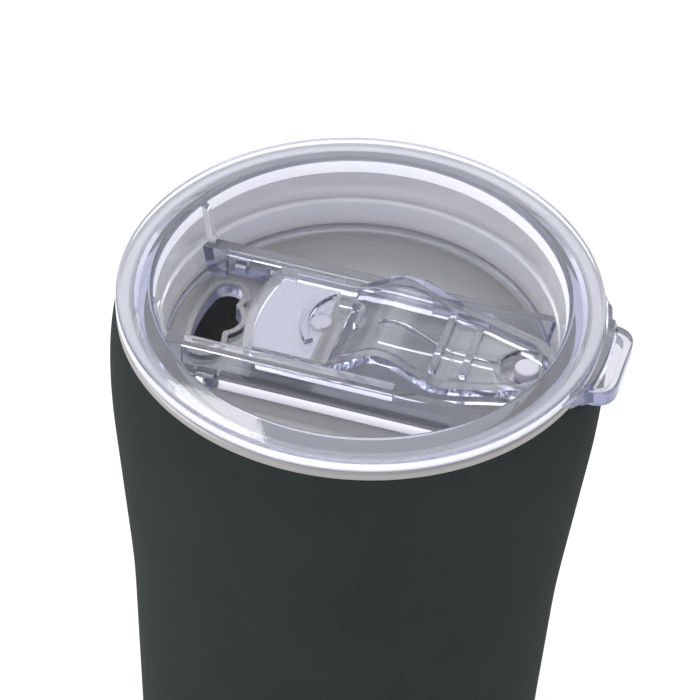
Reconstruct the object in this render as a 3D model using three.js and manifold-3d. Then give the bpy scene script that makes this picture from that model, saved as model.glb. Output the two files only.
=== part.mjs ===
// Insulated travel mug: a double-walled vacuum tumbler with a clear press-in lid and a sliding drink cover.
// Millimetres, +Z up. The origin is at the middle of the foot, on the surface that the mug stands on.
// The drink hole lies towards -Y and the pull tab towards +Y. The slider is drawn open.
import * as THREE from 'three';
import { mergeVertices } from 'three/addons/utils/BufferGeometryUtils.js';
import Module from 'manifold-3d';

const wasm = await Module();
wasm.setup();

// Driving dimensions of the steel body.
const ROUND_SEGMENTS = 48;
const HIDDEN_SEGMENTS = 36;
const GAP = 0.3;
const MOUTH_Z = 168;
const PAINT_TOP_Z = 166.3;
const SHELL_TOP_RADIUS = 44.4;
const SHELL_BASE_RADIUS = 37.2;
const STEEL = 0.7;
const BASE_RING_Z = 0.8;
const BASE_OPENING_RADIUS = 33.6;
const LIP_RADIUS = 44.3;
const MOUTH_RADIUS = 41.5;
const MOUTH_DEPTH = 16;
const VACUUM_SPACE = 3;
const LINER_FLOOR_Z = 9;
const LINER_FLOOR_FILLET = 6;
const BASE_PLATE_Z = 2.4;
const BASE_PLATE_RADIUS = 35.8;
const BASE_DIMPLE = 1;
const SEAL_HOLE_RADIUS = 1.5;

// Driving dimensions of the lid.
const FLANGE_RADIUS = 44.4;
const FLANGE_BOTTOM_Z = MOUTH_Z + GAP;
const FLANGE_TOP_Z = 170.7;
const RECESS_TOP_RADIUS = 37.8;
const RECESS_FLOOR_RADIUS = 35.6;
const PLUG_RADIUS = 40.2;
const GROOVE_RADIUS = 39.2;
const GROOVE_BOTTOM_Z = 155.1;
const GROOVE_TOP_Z = 159.5;
const FLOOR_TOP_Z = 155.1;
const FLOOR_BOTTOM_Z = 153.1;
const HOLE_LIP_TOP_Z = 156.3;
const RAIL_OUTER_X = 15;
const RAIL_WALL = 1.6;
const LEDGE_INNER_X = 12;
const LEDGE_THICKNESS = 1.3;
const RAIL_TOP_Z = 161.6;
const LEDGE_END_Y = 10.5;
const PILLAR_END_Y = -29.5;
const PLINTH_OUTER_X = 17.8;
const PLINTH_TOP_Z = 157.4;
const PLINTH_REACH_Y = 21.5;

// The drink hole is a curved slot with a round straw notch in its inner side.
const SLOT_CENTRE_RADIUS = 28.05;
const SLOT_HALF_WIDTH = 2.85;
const SLOT_HALF_ANGLE = THREE.MathUtils.degToRad(13.6);
const STRAW_NOTCH_RADIUS = 4.1;
const STRAW_NOTCH_Y = -26.8;
const HOLE_LIP_WIDTH = 1.1;

// Driving dimensions of the slider.
const SLIDER_TRAVEL = 13.5;
const SLIDER_HALF_WIDTH = 11.6;
const SLIDER_FRONT_Y = -20.5;
const SLIDER_TAIL_Y = 36.2;
const SLIDER_FRONT_ARC = 36;
const PLATE_TOP_Z = 161.3;
const PLATE_THICKNESS = 1.6;
const SKIRT_BOTTOM_Z = 158.4;
const SKIRT_WALL = 1.5;
const RIM_HEIGHT = 1;
const HUMP_FRONT_Y = -4.5;
const HUMP_PEAK_Y = 6.5;
const HUMP_BACK_Y = 19;
const HUMP_TOP_Z = 166.8;
const TAIL_TOP_Z = 162.3;
const TONGUE_FRONT_Y = -15.6;
const TONGUE_BACK_Y = 10.5;
const GRIP_BAR_Y = [15.7, 21.2];
const STUD_Y = -8.2;
const PAD_BACK_Y = -6.2;
const STUD_RADIUS = 2.3;
const POST_Y = 31.65;
const POST_RADIUS = 2.25;
const POCKET_RADIUS = 3.9;
const PAD_BOTTOM_Z = HOLE_LIP_TOP_Z + GAP;

// Driving dimensions of the pull tab.
const TAB_TOP_Z = 168;
const TAB_PLATE = 1.2;
const TAB_BOTTOM_Z = 164.6;
const TAB_ROOT_HALF_WIDTH = 10.2;
const TAB_TIP_HALF_WIDTH = 9.5;
const TAB_TIP_Y = 49.4;
const TAB_CORNER = 4.5;
const TAB_LIP = 1.6;

const paintedSteel = material(0x374140, 0.62, 0.1);
const bareSteel = material(0xb9b7b4, 0.3, 1);
const clearPlastic = material(0xdfe2ea, 0.08, 0);
const whiteSilicone = material(0xe0e0ea, 0.6, 0);
const clearSilicone = material(0xd8dae4, 0.5, 0);
const greySilicone = material(0x6c6f70, 0.8, 0);
const foil = material(0xc6c8ca, 0.35, 1);
const sealGlass = material(0x8a8f86, 0.4, 0);
const getterAlloy = material(0x77777a, 0.7, 0.8);

function material(color, roughness, metalness) {
  return new THREE.MeshStandardMaterial({ color, roughness, metalness });
}

function point(radius, z) {
  return new THREE.Vector2(radius, z);
}

// A solid of revolution about Z from a profile of (radius, z) points.
function revolve(profile, segments = ROUND_SEGMENTS) {
  const geometry = new THREE.LatheGeometry(profile, segments);
  geometry.rotateX(Math.PI / 2);
  return solid(geometry);
}

// A ring of revolution: its profile closes on itself.
function revolveRing(profile, segments = ROUND_SEGMENTS) {
  return revolve([...profile, profile[0]], segments);
}

function extrudeUp(shape, bottomZ, topZ, curveSegments = 16) {
  const depth = topZ - bottomZ;
  const geometry = new THREE.ExtrudeGeometry(shape, { depth, bevelEnabled: false, curveSegments });
  geometry.translate(0, 0, bottomZ);
  return solid(geometry);
}

// Extrudes a (y, z) outline along X, from lowX to highX.
function extrudeAcross(outline, lowX, highX) {
  const shape = new THREE.Shape(outline);
  const geometry = new THREE.ExtrudeGeometry(shape, { depth: highX - lowX, bevelEnabled: false });
  const turn = new THREE.Matrix4().makeBasis(
    new THREE.Vector3(0, 1, 0),
    new THREE.Vector3(0, 0, 1),
    new THREE.Vector3(1, 0, 0),
  );
  geometry.applyMatrix4(turn);
  geometry.translate(lowX, 0, 0);
  return solid(geometry);
}

function box(lowX, highX, lowY, highY, lowZ, highZ) {
  const geometry = new THREE.BoxGeometry(highX - lowX, highY - lowY, highZ - lowZ);
  geometry.translate((lowX + highX) / 2, (lowY + highY) / 2, (lowZ + highZ) / 2);
  return solid(geometry);
}

function disc(radius, y, bottomZ, topZ, segments = 24) {
  const geometry = new THREE.CylinderGeometry(radius, radius, topZ - bottomZ, segments);
  geometry.rotateX(Math.PI / 2);
  geometry.translate(0, y, (bottomZ + topZ) / 2);
  return solid(geometry);
}

// Merges a closed geometry's shared vertices and hands it to manifold-3d.
function solid(geometry) {
  geometry.deleteAttribute('normal');
  geometry.deleteAttribute('uv');
  const merged = mergeVertices(geometry, 1e-4);
  const index = merged.index.array;
  const triangles = [];
  for (let i = 0; i < index.length; i += 3) {
    const [a, b, c] = [index[i], index[i + 1], index[i + 2]];
    if (a !== b && b !== c && c !== a) triangles.push(a, b, c);
  }
  const vertProperties = new Float32Array(merged.attributes.position.array);
  const triVerts = new Uint32Array(triangles);
  return new wasm.Manifold(new wasm.Mesh({ numProp: 3, vertProperties, triVerts }));
}

function mesh(name, body, look) {
  const { vertProperties, triVerts } = body.getMesh();
  const geometry = new THREE.BufferGeometry();
  geometry.setAttribute('position', new THREE.BufferAttribute(vertProperties, 3));
  geometry.setIndex(new THREE.BufferAttribute(triVerts, 1));
  geometry.computeVertexNormals();
  const piece = new THREE.Mesh(geometry, look);
  piece.name = name;
  return piece;
}

// The outside of the painted shell from its base ring to the lip: a straight lower cone, a soft knee,
// a steeper cone and a bulge under the mouth. inset moves the whole curve inwards.
function shellCurve(inset) {
  const curve = new THREE.Path();
  curve.moveTo(BASE_OPENING_RADIUS + inset, BASE_RING_Z + inset * 0.2);
  curve.lineTo(35 - inset * 0.4, BASE_RING_Z + inset);
  curve.quadraticCurveTo(SHELL_BASE_RADIUS - 0.1 - inset, BASE_RING_Z + inset, SHELL_BASE_RADIUS - inset, 4);
  curve.lineTo(40.8 - inset, 95.8);
  curve.quadraticCurveTo(41.12 - inset, 103.8, 41.9 - inset, 111.8);
  curve.lineTo(44.6 - inset, 139.5);
  curve.quadraticCurveTo(46.39 - inset, 157.8, SHELL_TOP_RADIUS - inset, PAINT_TOP_Z - GAP);
  return curve.getPoints(4);
}

function outerShell() {
  const outside = shellCurve(0);
  const inside = shellCurve(STEEL).reverse();
  return revolveRing([...outside, ...inside]);
}

// The inside of the liner from the middle of its floor to the mouth.
function linerCurve(inset) {
  const wallX = SHELL_BASE_RADIUS - VACUUM_SPACE - inset;
  const floorZ = LINER_FLOOR_Z + inset;
  const curve = new THREE.Path();
  curve.moveTo(0, floorZ);
  curve.lineTo(wallX - LINER_FLOOR_FILLET, floorZ);
  curve.quadraticCurveTo(wallX, floorZ, wallX + 0.3, floorZ + LINER_FLOOR_FILLET);
  curve.lineTo(37.1 - inset, 95.8);
  curve.quadraticCurveTo(37.5 - inset, 103.8, 38.3 - inset, 111.8);
  curve.lineTo(40.6 - inset, 139.5);
  curve.quadraticCurveTo(MOUTH_RADIUS - inset, 146, MOUTH_RADIUS - inset, MOUTH_Z - MOUTH_DEPTH);
  return curve.getPoints(3);
}

// The liner is one drawn cup whose rolled lip turns out over the shell's top edge.
function innerLiner() {
  const lip = [
    point(MOUTH_RADIUS, MOUTH_Z - 0.7),
    point(MOUTH_RADIUS + 0.7, MOUTH_Z),
    point(LIP_RADIUS - 0.7, MOUTH_Z),
    point(LIP_RADIUS, MOUTH_Z - 0.7),
    point(LIP_RADIUS, PAINT_TOP_Z),
    point(MOUTH_RADIUS + STEEL, PAINT_TOP_Z),
  ];
  const outside = linerCurve(-STEEL).reverse();
  const cup = [...linerCurve(0), ...lip, ...outside];
  return revolve(cup.reverse());
}

// A stamped disc, welded inside the shell's base ring, with a raised middle around the seal hole.
function basePlate() {
  const dimpleZ = BASE_PLATE_Z + BASE_DIMPLE;
  return revolveRing([
    point(SEAL_HOLE_RADIUS, dimpleZ),
    point(8, dimpleZ),
    point(9.5, BASE_PLATE_Z),
    point(BASE_PLATE_RADIUS - 0.4, BASE_PLATE_Z),
    point(BASE_PLATE_RADIUS, BASE_PLATE_Z + STEEL),
    point(9.2, BASE_PLATE_Z + STEEL),
    point(7.7, dimpleZ + STEEL),
    point(SEAL_HOLE_RADIUS, dimpleZ + STEEL),
  ], HIDDEN_SEGMENTS);
}

// The bead of solder glass that closes the hole the air was drawn out through.
function sealBead() {
  const reach = SEAL_HOLE_RADIUS - GAP;
  return revolve([point(0, 3), point(reach, 3.1), point(reach, 4.5), point(0, 4.7)], 20);
}

function getterCup() {
  return revolveRing([
    point(1, 6.6),
    point(5.4, 6.6),
    point(5.8, 7.9),
    point(5.2, 7.9),
    point(4.9, 7.1),
    point(1, 7.1),
  ], 28);
}

function getterPill() {
  return disc(4.4, 0, 7.1 + GAP, 8, 24);
}

// A thin foil wrapped round the liner in the vacuum space, which turns radiant heat back.
function radiationFoil() {
  const thickness = 0.2;
  const offset = STEEL + GAP;
  return revolveRing([
    point(34.8 + offset, 20),
    point(34.8 + offset + thickness, 20),
    point(37.1 + offset + thickness, 92),
    point(37.1 + offset, 92),
  ], HIDDEN_SEGMENTS);
}

function footPad() {
  const radius = BASE_OPENING_RADIUS - GAP;
  return revolve([
    point(0, 0),
    point(radius - 1.2, 0),
    point(radius - 0.4, 0.5),
    point(radius, BASE_PLATE_Z - GAP),
    point(0, BASE_PLATE_Z - GAP),
  ], HIDDEN_SEGMENTS);
}

// The lid's plug, bowl and flange as one turned wall.
function lidBowl() {
  return revolve([
    point(0, FLOOR_BOTTOM_Z),
    point(37.2, FLOOR_BOTTOM_Z),
    point(39.5, FLOOR_BOTTOM_Z + 0.5),
    point(PLUG_RADIUS, FLOOR_BOTTOM_Z + 1.2),
    point(PLUG_RADIUS, GROOVE_BOTTOM_Z),
    point(GROOVE_RADIUS, GROOVE_BOTTOM_Z),
    point(GROOVE_RADIUS, GROOVE_TOP_Z),
    point(PLUG_RADIUS, GROOVE_TOP_Z),
    point(PLUG_RADIUS, FLANGE_BOTTOM_Z - 0.8),
    point(PLUG_RADIUS + 0.8, FLANGE_BOTTOM_Z),
    point(FLANGE_RADIUS - 0.4, FLANGE_BOTTOM_Z),
    point(FLANGE_RADIUS, FLANGE_BOTTOM_Z + 0.4),
    point(FLANGE_RADIUS, FLANGE_TOP_Z - 0.9),
    point(FLANGE_RADIUS - 0.3, FLANGE_TOP_Z - 0.25),
    point(FLANGE_RADIUS - 0.9, FLANGE_TOP_Z),
    point(RECESS_TOP_RADIUS + 1, FLANGE_TOP_Z),
    point(RECESS_TOP_RADIUS + 0.3, FLANGE_TOP_Z - 0.3),
    point(RECESS_TOP_RADIUS, FLANGE_TOP_Z - 1),
    point(RECESS_FLOOR_RADIUS, FLOOR_TOP_Z + 1.4),
    point(RECESS_FLOOR_RADIUS - 0.5, FLOOR_TOP_Z + 0.4),
    point(RECESS_FLOOR_RADIUS - 1.5, FLOOR_TOP_Z),
    point(0, FLOOR_TOP_Z),
  ]);
}

// A slot along an arc about the Z axis, centred on -Y, with round ends.
function arcSlot(halfWidth) {
  const low = -Math.PI / 2 - SLOT_HALF_ANGLE;
  const high = -Math.PI / 2 + SLOT_HALF_ANGLE;
  const capX = SLOT_CENTRE_RADIUS * Math.cos(high);
  const capY = SLOT_CENTRE_RADIUS * Math.sin(high);
  const shape = new THREE.Shape();
  shape.absarc(0, 0, SLOT_CENTRE_RADIUS + halfWidth, low, high, false);
  shape.absarc(capX, capY, halfWidth, high, high + Math.PI, false);
  shape.absarc(0, 0, SLOT_CENTRE_RADIUS - halfWidth, high, low, true);
  shape.absarc(-capX, capY, halfWidth, low + Math.PI, low + 2 * Math.PI, false);
  return shape;
}

function drinkHole(margin, bottomZ, topZ) {
  const slot = extrudeUp(arcSlot(SLOT_HALF_WIDTH + margin), bottomZ, topZ, 10);
  const notch = disc(STRAW_NOTCH_RADIUS + margin, STRAW_NOTCH_Y, bottomZ, topZ);
  return slot.add(notch);
}

// One guide rail: an upright wall, an overhanging ledge that holds the slider's tongue down, a pillar that
// stops the tongue at the drink end, and a low plinth along the wall's outer foot.
// side is 1 for the +X rail and -1 for the -X rail.
function guideRail(side) {
  const reach = RECESS_TOP_RADIUS;
  const wallX = RAIL_OUTER_X - RAIL_WALL;
  const footZ = FLOOR_TOP_Z - 0.5;
  const wall = sideBox(side, wallX, RAIL_OUTER_X, -reach, reach, footZ, RAIL_TOP_Z);
  const ledgeZ = RAIL_TOP_Z - LEDGE_THICKNESS;
  const ledge = sideBox(side, LEDGE_INNER_X, wallX + 0.5, -reach, LEDGE_END_Y, ledgeZ, RAIL_TOP_Z);
  const pillar = sideBox(side, LEDGE_INNER_X, wallX + 0.5, -reach, PILLAR_END_Y, footZ, RAIL_TOP_Z);
  const plinthX = RAIL_OUTER_X - 0.5;
  const plinth = sideBox(side, plinthX, PLINTH_OUTER_X, -PLINTH_REACH_Y, PLINTH_REACH_Y, footZ, PLINTH_TOP_Z);
  return wall.add(ledge).add(pillar).add(plinth).add(railFin(side));
}

function sideBox(side, nearX, farX, lowY, highY, lowZ, highZ) {
  const lowX = side > 0 ? nearX : -farX;
  const highX = side > 0 ? farX : -nearX;
  return box(lowX, highX, lowY, highY, lowZ, highZ);
}

// A thin fin that runs from the rail's end up the bowl's wall to the flange.
function railFin(side) {
  const farY = -RECESS_TOP_RADIUS;
  const outline = [
    point(farY, RAIL_TOP_Z - 0.5),
    point(-31.8, RAIL_TOP_Z - 0.5),
    point(-33.6, FLANGE_TOP_Z - 1.2),
    point(-34, FLANGE_TOP_Z - 0.8),
    point(farY, FLANGE_TOP_Z - 0.8),
  ];
  const outerX = side * RAIL_OUTER_X;
  const innerX = side * (RAIL_OUTER_X - RAIL_WALL);
  return extrudeAcross(outline, Math.min(outerX, innerX), Math.max(outerX, innerX));
}

// The space inside the bowl's wall, grown by margin: the rails are trimmed into the wall, the slider
// short of it.
function bowlSpace(margin) {
  return revolve([
    point(0, FLOOR_TOP_Z - 0.6),
    point(RECESS_FLOOR_RADIUS + margin, FLOOR_TOP_Z - 0.6),
    point(RECESS_FLOOR_RADIUS + margin, FLOOR_TOP_Z + 1.4),
    point(RECESS_TOP_RADIUS + margin, FLANGE_TOP_Z - 1),
    point(RECESS_TOP_RADIUS + margin, FLANGE_TOP_Z - 0.5),
    point(0, FLANGE_TOP_Z - 0.5),
  ]);
}

function tabOutline(inset) {
  const root = TAB_ROOT_HALF_WIDTH - inset;
  const tip = TAB_TIP_HALF_WIDTH - inset;
  const tipY = TAB_TIP_Y - inset;
  const corner = TAB_CORNER - inset * 0.5;
  const shape = new THREE.Shape();
  shape.moveTo(-root, 40);
  shape.lineTo(root, 40);
  shape.lineTo(root, 44.6);
  shape.lineTo(tip, tipY - corner);
  shape.quadraticCurveTo(tip, tipY, tip - corner, tipY);
  shape.lineTo(-tip + corner, tipY);
  shape.quadraticCurveTo(-tip, tipY, -tip, tipY - corner);
  shape.lineTo(-root, 44.6);
  return shape;
}

// The pull tab: a thin plate that steps down outside the steel lip, with a deeper lip on three sides.
function pullTab() {
  const clearRadius = LIP_RADIUS + 0.5;
  const plate = extrudeUp(tabOutline(0), TAB_TOP_Z - TAB_PLATE, TAB_TOP_Z, 6);
  const rimOutside = extrudeUp(tabOutline(0), TAB_BOTTOM_Z, TAB_TOP_Z - 0.1, 6);
  const rimInside = extrudeUp(tabOutline(TAB_LIP), TAB_BOTTOM_Z - 1, TAB_TOP_Z + 1, 6);
  const rim = rimOutside.subtract(rimInside);
  const root = extrudeUp(tabOutline(0.4), TAB_TOP_Z - TAB_PLATE, FLANGE_TOP_Z - 0.9, 6);
  const rootBand = disc(clearRadius + 1.3, 0, TAB_TOP_Z - 3, FLANGE_TOP_Z, ROUND_SEGMENTS);
  const clearance = disc(clearRadius, 0, TAB_BOTTOM_Z - 1, FLANGE_BOTTOM_Z, ROUND_SEGMENTS);
  return plate.add(rim).add(root.intersect(rootBand)).subtract(clearance);
}

function lidBody() {
  const rails = guideRail(1).add(guideRail(-1)).intersect(bowlSpace(0.7));
  const closedY = POST_Y - SLIDER_TRAVEL;
  const holeLip = drinkHole(HOLE_LIP_WIDTH, FLOOR_TOP_Z - 0.5, HOLE_LIP_TOP_Z);
  const ventLip = disc(2.2, closedY, FLOOR_TOP_Z - 0.5, HOLE_LIP_TOP_Z);
  const vent = disc(1, closedY, FLOOR_BOTTOM_Z - 1, HOLE_LIP_TOP_Z + 1, 16);
  const hole = drinkHole(0, FLOOR_BOTTOM_Z - 1, HOLE_LIP_TOP_Z + 1);
  const whole = lidBowl().add(rails).add(holeLip).add(ventLip).add(trimmedTab());
  return whole.subtract(hole).subtract(vent);
}

// The tab without what would reach into the bowl.
function trimmedTab() {
  const bowl = disc(RECESS_TOP_RADIUS + 3.5, 0, FLOOR_BOTTOM_Z, FLANGE_TOP_Z + 1, ROUND_SEGMENTS);
  return pullTab().subtract(bowl);
}

// The gasket ring: a flat inside and three lips that press on the steel mouth.
function lidGasket() {
  const inner = GROOVE_RADIUS + GAP;
  const outer = MOUTH_RADIUS - GAP;
  const bottom = GROOVE_BOTTOM_Z + GAP;
  const top = GROOVE_TOP_Z - GAP;
  const pitch = (top - bottom) / 3;
  const profile = [point(inner, bottom)];
  for (let lip = 0; lip < 3; lip += 1) {
    profile.push(point(outer - 0.7, bottom + lip * pitch));
    profile.push(point(outer, bottom + (lip + 0.5) * pitch));
  }
  profile.push(point(outer - 0.7, top), point(inner, top));
  return revolveRing(profile);
}

// The slider's outline from above. inset moves it inwards all round.
function sliderOutline(inset) {
  const half = SLIDER_HALF_WIDTH - inset;
  const radius = SLIDER_FRONT_ARC - inset;
  const centreY = SLIDER_FRONT_Y + SLIDER_FRONT_ARC;
  const reach = Math.asin(half / radius);
  const tailY = SLIDER_TAIL_Y - inset;
  const shape = new THREE.Shape();
  shape.absarc(0, centreY, radius, -Math.PI / 2 - reach, -Math.PI / 2 + reach, false);
  shape.lineTo(half, 12);
  shape.quadraticCurveTo(half, 19, 9.3 - inset, 25);
  shape.lineTo(7.6 - inset, 31);
  shape.quadraticCurveTo(6.6 - inset, tailY, 0, tailY);
  shape.quadraticCurveTo(-6.6 + inset, tailY, -7.6 + inset, 31);
  shape.lineTo(-9.3 + inset, 25);
  shape.quadraticCurveTo(-half, 19, -half, 12);
  return shape;
}

// Height of the slider's rim along its length: a flat plate, a finger hump and a low tail.
function rimHeight(y) {
  if (y < HUMP_PEAK_Y) {
    const rise = THREE.MathUtils.smoothstep(y, HUMP_FRONT_Y, HUMP_PEAK_Y);
    return PLATE_TOP_Z + (HUMP_TOP_Z - PLATE_TOP_Z) * rise;
  }
  return HUMP_TOP_Z + (TAIL_TOP_Z - HUMP_TOP_Z) * THREE.MathUtils.smoothstep(y, HUMP_PEAK_Y, HUMP_BACK_Y);
}

// A side view between two heights, each given as a drop below the rim, from startY to the tail.
function sideView(startY, drop, baseZ) {
  const outline = [point(40, baseZ), point(startY, baseZ)];
  const steps = [startY];
  for (let y = HUMP_FRONT_Y; y <= HUMP_BACK_Y; y += 1.75) {
    if (y > startY) steps.push(y);
  }
  for (const y of [...steps, 40]) outline.push(point(y, rimHeight(y) - drop));
  return outline.reverse();
}

function sliderShell() {
  const whole = extrudeAcross(sideView(-24, 0, SKIRT_BOTTOM_Z), -14, 14);
  const outline = extrudeUp(sliderOutline(0), 150, 175, 10);
  const inside = extrudeUp(sliderOutline(SKIRT_WALL), 150, 175, 10);
  const above = extrudeAcross(sideView(HUMP_FRONT_Y + 1.75, RIM_HEIGHT, 175).reverse(), -14, 14);
  const below = extrudeAcross(sideView(-24, RIM_HEIGHT + PLATE_THICKNESS, 150), -14, 14);
  const ceiling = box(-14, 14, -24, 40, 150, PLATE_TOP_Z - PLATE_THICKNESS);
  const shell = whole.intersect(outline).subtract(above.intersect(inside));
  return shell.subtract(below.add(ceiling).intersect(inside));
}

function sliderTongues() {
  const inner = SLIDER_HALF_WIDTH - 0.5;
  const outer = RAIL_OUTER_X - RAIL_WALL - GAP;
  const topZ = RAIL_TOP_Z - LEDGE_THICKNESS - 0.4;
  const tongues = [1, -1].map((side) => {
    return sideBox(side, inner, outer, TONGUE_FRONT_Y, TONGUE_BACK_Y, SKIRT_BOTTOM_Z, topZ);
  });
  return tongues[0].add(tongues[1]);
}

// Two raised bars across the tail for the fingertip.
function gripBars() {
  const halfLength = 7.3;
  const halfWidth = 0.7;
  const bars = GRIP_BAR_Y.map((y) => {
    const topZ = rimHeight(y) + 0.1;
    return box(-halfLength, halfLength, y - halfWidth, y + halfWidth, topZ - 2.2, topZ);
  });
  return bars[0].add(bars[1]);
}

// The round pocket in the tail that the vent plug is pulled through.
function ventPocket() {
  const wall = disc(POCKET_RADIUS + 1, POST_Y - 0.3, 157.9, TAIL_TOP_Z - RIM_HEIGHT + 0.05, 28);
  return wall.intersect(extrudeUp(sliderOutline(0.4), 150, 175, 10));
}

function sliderBody() {
  const studHole = disc(STUD_RADIUS + GAP, STUD_Y, 150, 175);
  const studCollar = disc(STUD_RADIUS + 1.7, STUD_Y, PLATE_TOP_Z - 1, PLATE_TOP_Z + 0.6);
  const pocket = disc(POCKET_RADIUS, POST_Y - 0.3, 159.1, 175, 28);
  const neckHole = disc(1.5, POST_Y, 150, 175, 16);
  const whole = sliderShell().add(sliderTongues()).add(gripBars()).add(studCollar).add(ventPocket());
  return whole.subtract(studHole).subtract(pocket).subtract(neckHole).intersect(bowlSpace(-GAP));
}

// The pad that covers the drink hole when the slider is shut, with the stud that holds it to the slider.
function sliderSeal() {
  const inset = SKIRT_WALL + GAP;
  const padTop = PLATE_TOP_Z - PLATE_THICKNESS - GAP;
  const outline = extrudeUp(sliderOutline(inset), PAD_BOTTOM_Z, padTop, 10);
  const front = box(-14, 14, -24, PAD_BACK_Y, 150, 175);
  const stud = disc(STUD_RADIUS, STUD_Y, padTop - 0.5, PLATE_TOP_Z + 0.9);
  return outline.intersect(front).add(stud);
}

// A mushroom plug whose head closes the vent hole when the slider is shut.
function ventPlug() {
  const neck = 1.2;
  const pocketFloor = 159.1 + GAP;
  const profile = [
    point(0, PAD_BOTTOM_Z),
    point(3.1, PAD_BOTTOM_Z),
    point(3.1, 157.6),
    point(neck, 157.6),
    point(neck, pocketFloor),
    point(POST_RADIUS, pocketFloor),
    point(POST_RADIUS, 161.3),
    point(POST_RADIUS - 0.3, 161.6),
    point(0, 161.6),
  ];
  return revolve(profile, 24).translate(0, POST_Y, 0);
}

const mug = new THREE.Group();
mug.add(mesh('outer_shell', outerShell(), paintedSteel));
mug.add(mesh('inner_liner', innerLiner(), bareSteel));
mug.add(mesh('base_plate', basePlate(), bareSteel.clone()));
mug.add(mesh('seal_bead', sealBead(), sealGlass));
mug.add(mesh('getter_cup', getterCup(), bareSteel.clone()));
mug.add(mesh('getter_pill', getterPill(), getterAlloy));
mug.add(mesh('radiation_foil', radiationFoil(), foil));
mug.add(mesh('foot_pad', footPad(), greySilicone));

const lid = new THREE.Group();
lid.add(mesh('lid_body', lidBody(), clearPlastic));
lid.add(mesh('lid_gasket', lidGasket(), clearSilicone));
mug.add(lid);

const slider = new THREE.Group();
slider.add(mesh('slider_body', sliderBody(), clearPlastic.clone()));
slider.add(mesh('slider_seal', sliderSeal(), whiteSilicone));
slider.add(mesh('vent_plug', ventPlug(), whiteSilicone.clone()));
lid.add(slider);

export default mug;
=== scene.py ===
import bpy
import math
from mathutils import Matrix, Vector


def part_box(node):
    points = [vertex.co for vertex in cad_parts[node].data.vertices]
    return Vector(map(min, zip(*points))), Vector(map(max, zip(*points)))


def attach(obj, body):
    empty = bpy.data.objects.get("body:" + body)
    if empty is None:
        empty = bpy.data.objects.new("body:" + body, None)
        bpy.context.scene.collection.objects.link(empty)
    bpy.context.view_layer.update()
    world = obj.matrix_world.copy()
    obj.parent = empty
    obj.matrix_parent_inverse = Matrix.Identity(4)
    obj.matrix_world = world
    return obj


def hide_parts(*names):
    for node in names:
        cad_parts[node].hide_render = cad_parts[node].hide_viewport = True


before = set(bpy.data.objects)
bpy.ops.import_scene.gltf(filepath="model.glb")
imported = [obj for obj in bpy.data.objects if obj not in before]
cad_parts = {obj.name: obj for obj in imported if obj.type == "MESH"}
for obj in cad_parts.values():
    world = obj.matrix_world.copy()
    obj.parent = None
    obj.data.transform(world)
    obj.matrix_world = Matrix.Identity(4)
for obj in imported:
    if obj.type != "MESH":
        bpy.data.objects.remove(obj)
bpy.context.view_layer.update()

# ---------------------------------------------------------------- studio
# A white product table: a wide pale floor that melts into a white surround, a large soft light
# overhead and one high up behind the mug. The camera looks down across the drink hole.
mouth_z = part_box("inner_liner")[1].z * 1000
paint_top_z = mouth_z - 1.7

scene = bpy.context.scene
scene.view_settings.view_transform = "Standard"
scene.view_settings.look = "None"
scene.cycles.use_denoising = True
scene.cycles.max_bounces = 24
scene.cycles.transmission_bounces = 20
scene.cycles.glossy_bounces = 12
scene.cycles.diffuse_bounces = 4
scene.cycles.transparent_max_bounces = 24
scene.cycles.sample_clamp_indirect = 6.0
scene.cycles.blur_glossy = 0.3


def plain_material(name, colour, roughness):
    """A material with one Principled node, returned with that node and its node tree."""
    material = bpy.data.materials.new(name)
    material.use_nodes = True
    shader = material.node_tree.nodes["Principled BSDF"]
    shader.inputs["Base Color"].default_value = (*colour, 1.0)
    shader.inputs["Roughness"].default_value = roughness
    return material, shader, material.node_tree


def soft_light(name, place, aim, size, power):
    """A rectangular area light at place (metres) that faces aim."""
    lamp = bpy.data.lights.new(name, "AREA")
    lamp.shape = "RECTANGLE"
    lamp.size, lamp.size_y = size
    lamp.energy = power
    holder = bpy.data.objects.new(name, lamp)
    holder.location = place
    holder.rotation_euler = (Vector(aim) - Vector(place)).to_track_quat("-Z", "Y").to_euler()
    scene.collection.objects.link(holder)


# The surround is brighter to the left of the mug than to its right, which shades the painted wall.
SKY_DIM_SIDE = (-0.254, 0.967, 0.0)
SKY_BRIGHT = 1.12
SKY_DIM = 0.7
world = bpy.data.worlds.new("white_surround")
world.use_nodes = True
world.node_tree.nodes["Background"].inputs["Strength"].default_value = 1.0
scene.world = world
sky_place = world.node_tree.nodes.new("ShaderNodeTexCoord")
sky_side = world.node_tree.nodes.new("ShaderNodeVectorMath")
sky_side.operation = "DOT_PRODUCT"
sky_side.inputs[1].default_value = SKY_DIM_SIDE
sky_tone = world.node_tree.nodes.new("ShaderNodeMapRange")
sky_tone.inputs["From Min"].default_value = -1.0
sky_tone.inputs["To Min"].default_value = SKY_BRIGHT
sky_tone.inputs["To Max"].default_value = SKY_DIM
sky = world.node_tree.nodes["Background"]
world.node_tree.links.new(sky_place.outputs["Generated"], sky_side.inputs[0])
world.node_tree.links.new(sky_side.outputs["Value"], sky_tone.inputs["Value"])
world.node_tree.links.new(sky_tone.outputs["Result"], sky.inputs["Color"])

TABLE_SIZE = 6.0
bpy.ops.mesh.primitive_plane_add(size=TABLE_SIZE, location=(0.0, 0.0, 0.0))
table = bpy.context.object
table.name = "table"
table_white, _, _ = plain_material("table_white", (0.9, 0.9, 0.9), 0.8)
table.data.materials.append(table_white)

# A long lens 0.6 m from the mouth, turned a little about its own line of sight.
VIEW_AZIMUTH = math.radians(104.7)
VIEW_ELEVATION = math.radians(42.5)
VIEW_ROLL = math.radians(3.25)
VIEW_DISTANCE = 0.6
VIEW_OFFSET = (-0.0015, -0.00767)
LENS_LENGTH = 170.0846
SENSOR_WIDTH = 36.0

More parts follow.
